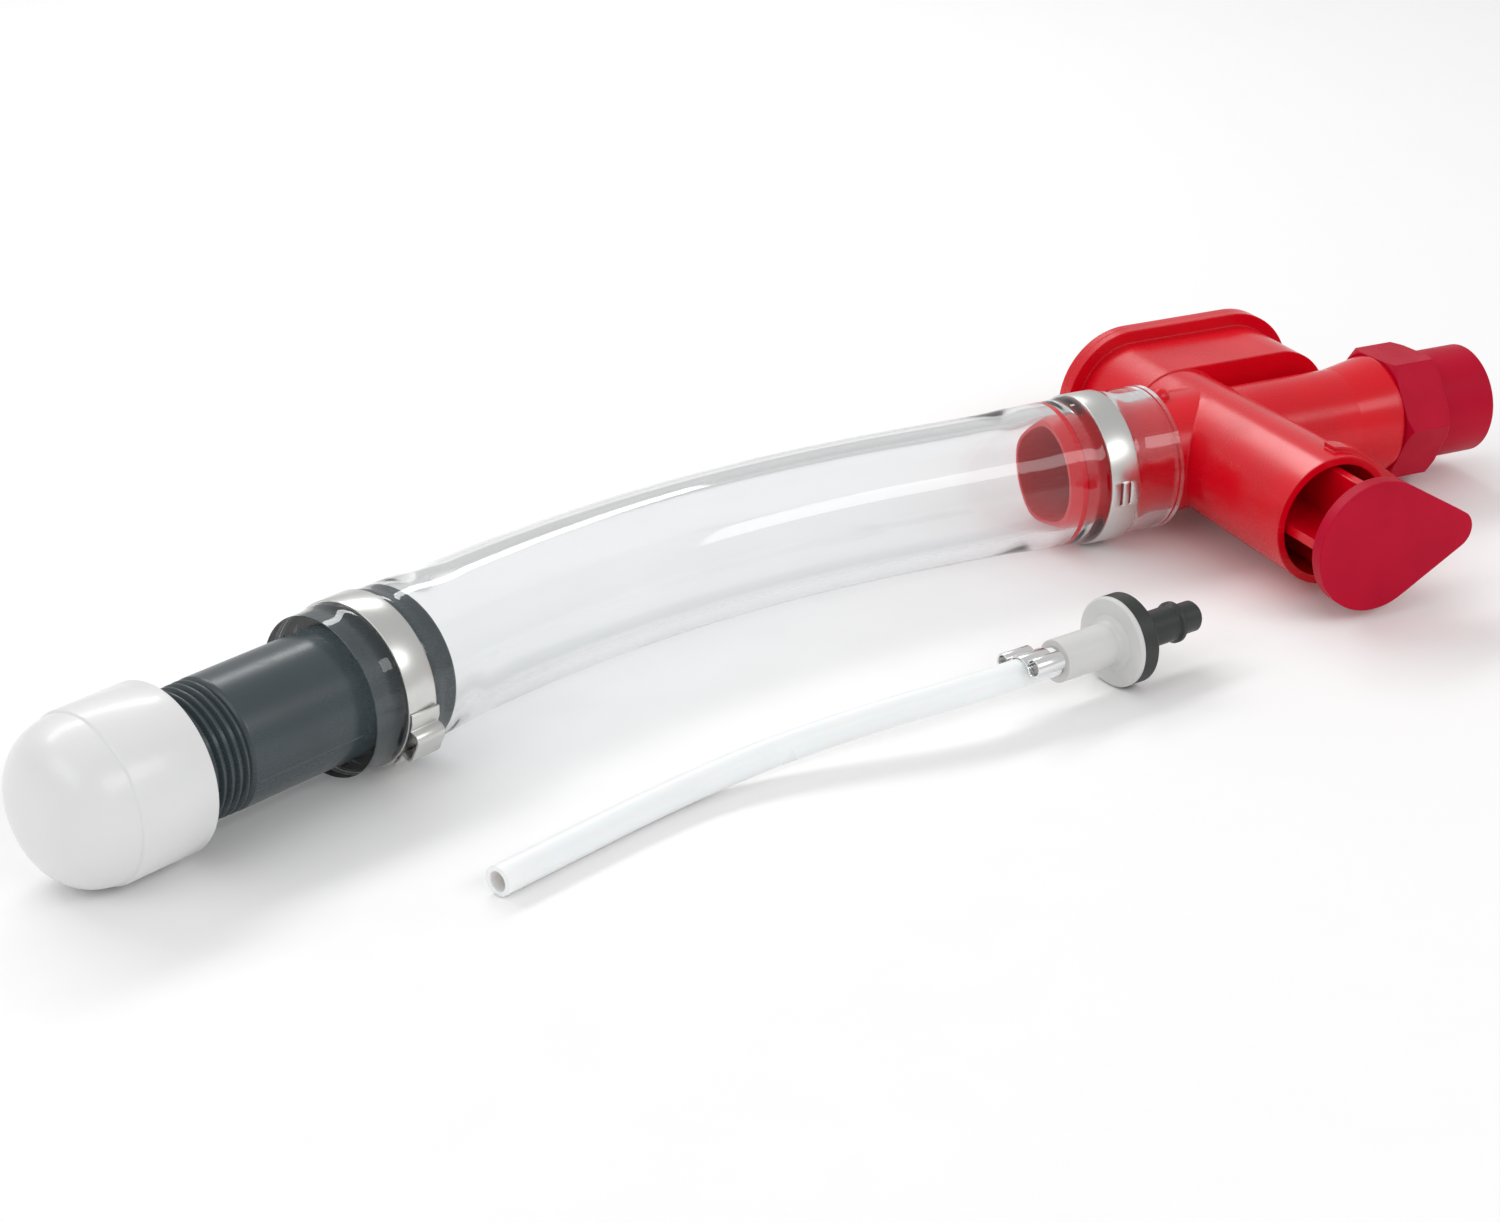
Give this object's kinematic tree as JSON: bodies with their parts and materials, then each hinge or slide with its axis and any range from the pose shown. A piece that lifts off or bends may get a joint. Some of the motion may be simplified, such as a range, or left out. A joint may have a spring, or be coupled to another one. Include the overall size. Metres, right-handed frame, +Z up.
{
  "type": "gravel vacuum siphon",
  "caption": "Aquarium siphon assembly: capped pipe nipple, clear hose with ear clamps and a red quarter-turn plug tap, with a loose check-valve air line.",
  "frame": {"origin": "the tap's flow axis at the outer face of the inlet hexagon, where the inlet end begins", "axes": "+X along the flow axis out of the inlet end, +Z up; the tap barrel's open mouth faces -Y"},
  "size_m": [0.3618, 0.1352, 0.0344],
  "materials": {
    "white_cap": "moulded white PVC, glossy",
    "grey_pipe": "dark grey PVC pipe, satin",
    "clear_hose": "clear flexible PVC, glossy, slightly milky",
    "stainless_band": "rolled stainless strip",
    "red_gloss": "glossy moulded red polyethylene",
    "red_satin": "satin moulded crimson polypropylene",
    "black_rubber": "matte rubber",
    "milky_tube": "translucent flexible PVC tube",
    "plated_spring": "bright plated spring steel",
    "milky_plastic": "translucent white polypropylene",
    "black_plastic": "satin black polypropylene",
    "clear_silicone": "soft silicone"
  },
  "bodies": {
    "siphon": {"nipple": "grey_pipe", "hose": "clear_hose", "nipple_hose_clamp": "stainless_band", "tap_hose_clamp": "stainless_band", "tap_body": "red_gloss", "tap_back_cover": "red_gloss", "inlet_adapter": "red_satin", "inlet_gasket": "black_rubber"},
    "cap_seal": {"cap_washer": "black_rubber"},
    "cap": {"end_cap": "white_cap"},
    "plug": {"tap_plug": "red_gloss", "lever_plate": "red_satin", "plug_front_seal": "black_rubber", "plug_back_seal": "black_rubber", "plug_thrust_washer": "stainless_band", "plug_screw": "stainless_band"},
    "air_line": {"air_tube": "milky_tube", "tube_clip": "plated_spring", "valve_inlet_half": "milky_plastic", "valve_outlet_half": "black_plastic"},
    "valve_flap": {"valve_diaphragm": "clear_silicone"}
  },
  "joints": [
    {"name": "cap_travel", "type": "slide", "parent": "siphon", "child": "cap_seal", "axis": [-0.9219, -0.3875, 0], "range_m": [0, 0.00908]},
    {"name": "cap_turn", "type": "hinge", "parent": "cap_seal", "child": "cap", "pos_m": [-0.31847, -0.0528, 0], "axis": [0.9219, 0.3875, 0], "range_deg": [0, 1800]},
    {"name": "lever_turn", "type": "hinge", "parent": "siphon", "child": "plug", "pos_m": [-0.0579, 0, 0], "axis": [0, -1, 0], "range_deg": [0, 90]},
    {"name": "air_line_lift", "type": "slide", "parent": "siphon", "child": "air_line", "axis": [0, 0, 1], "range_m": [0, 0.15]},
    {"name": "flap_open", "type": "slide", "parent": "air_line", "child": "valve_flap", "axis": [0.9839, 0.1788, 0], "range_m": [0, 0.001]}
  ],
  "couplings": [
    {"joint": "cap_travel", "follows": "cap_turn", "m_per_rad": 0.00028871}
  ]
}
